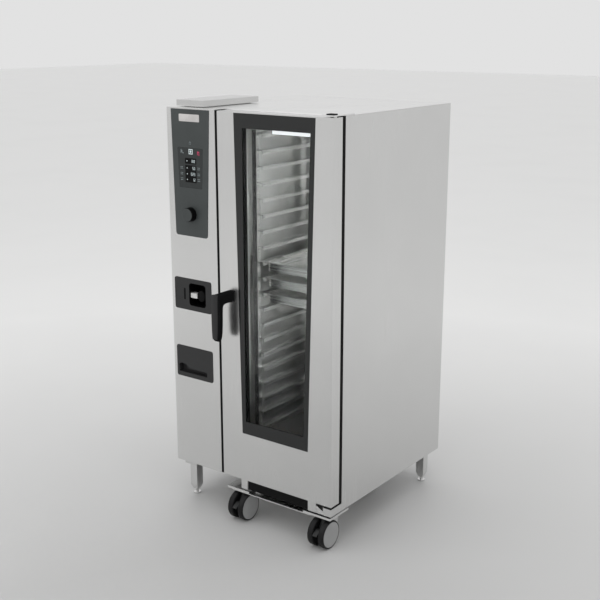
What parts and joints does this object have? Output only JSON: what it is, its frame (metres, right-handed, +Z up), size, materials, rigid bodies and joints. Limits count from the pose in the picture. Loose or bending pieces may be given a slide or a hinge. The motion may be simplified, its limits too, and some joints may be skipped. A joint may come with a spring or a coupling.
{
  "type": "combi steamer oven",
  "caption": "Floor-standing combi steamer oven with a tall glazed door, a control column, a roll-in trolley on twin-wheel casters and levelling legs.",
  "frame": {"origin": "middle of the overall box, on the floor", "axes": "+Z up, -Y out of the front (the door side), +X to the right seen from the front"},
  "size_m": [0.877, 0.986, 1.836],
  "materials": {
    "steel": "fine vertical brushing",
    "cavity_steel": "smooth, slightly worn",
    "panel_plastic": "satin, blue grey",
    "black_plastic": "fine moulded grain",
    "black_rubber": "matt",
    "caster_tread": "smooth tread, grey side caps",
    "door_glass": "clear, black printed border on the outer pane",
    "screen_glass": "gloss",
    "lamp_lens": "frosted",
    "cast_aluminium": "as cast"
  },
  "bodies": {
    "oven": {"column_front": "steel", "side_panel_left": "steel", "side_panel_right": "steel", "top_panel": "steel", "rear_panel": "steel", "base_rail_left": "steel", "base_rail_right": "steel", "front_frame": "cavity_steel", "cavity_wall_left": "cavity_steel", "cavity_wall_right": "cavity_steel", "cavity_ceiling": "cavity_steel", "cavity_floor": "cavity_steel", "cavity_wall_rear": "cavity_steel", "air_baffle": "cavity_steel", "fan_motor_upper": "cast_aluminium", "fan_motor_lower": "cast_aluminium", "heater_element": "cavity_steel", "steam_generator": "cast_aluminium", "flue_box": "steel", "control_bezel": "panel_plastic", "display_screen": "screen_glass", "shower_bezel": "panel_plastic", "drawer_housing": "black_plastic", "door_gasket": "black_rubber", "hinge_upper": "steel", "hinge_lower": "steel", "leg_front_left": "steel", "leg_front_right": "steel", "leg_rear_left": "steel", "leg_rear_right": "steel", "trolley_base": "cavity_steel", "rack_side_left": "cavity_steel", "rack_side_right": "cavity_steel", "gn_pan_1": "cavity_steel", "gn_pan_2": "cavity_steel", "gn_pan_3": "cavity_steel"},
    "door": {"door_skin": "steel", "door_frame": "black_plastic", "door_glass_outer": "door_glass", "door_glass_inner": "door_glass", "door_drip_tray": "black_plastic", "door_light": "lamp_lens"},
    "handle": {"door_handle": "black_plastic", "door_latch": "cast_aluminium"},
    "dial": {"dial_knob": "panel_plastic"},
    "shower": {"hand_shower": "black_plastic"},
    "flap": {"usb_flap": "panel_plastic"},
    "drawer": {"care_drawer": "panel_plastic"},
    "fan_wheel_upper": {"fan_upper": "cavity_steel"},
    "fan_wheel_lower": {"fan_lower": "cavity_steel"},
    "caster_front_left": {"caster_fork_front_left": "black_plastic"},
    "wheels_front_left": {"caster_wheels_front_left": "caster_tread"},
    "caster_front_right": {"caster_fork_front_right": "black_plastic"},
    "wheels_front_right": {"caster_wheels_front_right": "caster_tread"},
    "caster_rear_left": {"caster_fork_rear_left": "black_plastic"},
    "wheels_rear_left": {"caster_wheels_rear_left": "caster_tread"},
    "caster_rear_right": {"caster_fork_rear_right": "black_plastic"},
    "wheels_rear_right": {"caster_wheels_rear_right": "caster_tread"},
    "pedal_front_left": {"brake_pedal_front_left": "black_plastic"},
    "pedal_front_right": {"brake_pedal_front_right": "black_plastic"}
  },
  "joints": [
    {"name": "door_hinge", "type": "hinge", "parent": "oven", "child": "door", "pos_m": [0.4235, -0.39, 1], "axis": [0, 0, 1], "range_deg": [0, 180]},
    {"name": "handle_turn", "type": "hinge", "parent": "door", "child": "handle", "pos_m": [-0.0935, -0.45, 1.028], "axis": [0, 1, 0], "range_deg": [-45, 45]},
    {"name": "dial_turn", "type": "hinge", "parent": "oven", "child": "dial", "pos_m": [-0.3005, -0.438, 1.357], "axis": [0, 1, 0], "continuous": true},
    {"name": "shower_pull", "type": "slide", "parent": "oven", "child": "shower", "axis": [0, -1, 0], "range_m": [0, 0.1]},
    {"name": "usb_flap_hinge", "type": "hinge", "parent": "oven", "child": "flap", "pos_m": [-0.401, -0.4205, 0.998], "axis": [0, 0, -1], "range_deg": [0, 100]},
    {"name": "drawer_slide", "type": "slide", "parent": "oven", "child": "drawer", "axis": [0, -1, 0], "range_m": [0, 0.16]},
    {"name": "fan_upper_spin", "type": "hinge", "parent": "oven", "child": "fan_wheel_upper", "pos_m": [-0.1085, 0.01, 1.37], "axis": [1, 0, 0], "continuous": true},
    {"name": "fan_lower_spin", "type": "hinge", "parent": "oven", "child": "fan_wheel_lower", "pos_m": [-0.1085, 0.01, 0.64], "axis": [1, 0, 0], "continuous": true},
    {"name": "swivel_front_left", "type": "hinge", "parent": "oven", "child": "caster_front_left", "pos_m": [-0.0475, -0.37, 0.12], "axis": [0, 0, 1], "continuous": true},
    {"name": "wheel_front_left", "type": "hinge", "parent": "caster_front_left", "child": "wheels_front_left", "pos_m": [-0.0475, -0.405, 0.0625], "axis": [1, 0, 0], "continuous": true},
    {"name": "swivel_front_right", "type": "hinge", "parent": "oven", "child": "caster_front_right", "pos_m": [0.3895, -0.37, 0.12], "axis": [0, 0, 1], "range_deg": [-90, 90]},
    {"name": "wheel_front_right", "type": "hinge", "parent": "caster_front_right", "child": "wheels_front_right", "pos_m": [0.3895, -0.405, 0.0625], "axis": [1, 0, 0], "continuous": true},
    {"name": "swivel_rear_left", "type": "hinge", "parent": "oven", "child": "caster_rear_left", "pos_m": [-0.0475, 0.22, 0.12], "axis": [0, 0, 1], "continuous": true},
    {"name": "wheel_rear_left", "type": "hinge", "parent": "caster_rear_left", "child": "wheels_rear_left", "pos_m": [-0.0475, 0.185, 0.0625], "axis": [1, 0, 0], "continuous": true},
    {"name": "swivel_rear_right", "type": "hinge", "parent": "oven", "child": "caster_rear_right", "pos_m": [0.2115, 0.22, 0.12], "axis": [0, 0, 1], "continuous": true},
    {"name": "wheel_rear_right", "type": "hinge", "parent": "caster_rear_right", "child": "wheels_rear_right", "pos_m": [0.2115, 0.185, 0.0625], "axis": [1, 0, 0], "continuous": true},
    {"name": "brake_front_left", "type": "hinge", "parent": "caster_front_left", "child": "pedal_front_left", "pos_m": [-0.0475, -0.431, 0.082], "axis": [1, 0, 0], "range_deg": [0, 12]},
    {"name": "brake_front_right", "type": "hinge", "parent": "caster_front_right", "child": "pedal_front_right", "pos_m": [0.3895, -0.431, 0.082], "axis": [1, 0, 0], "range_deg": [0, 12]}
  ]
}
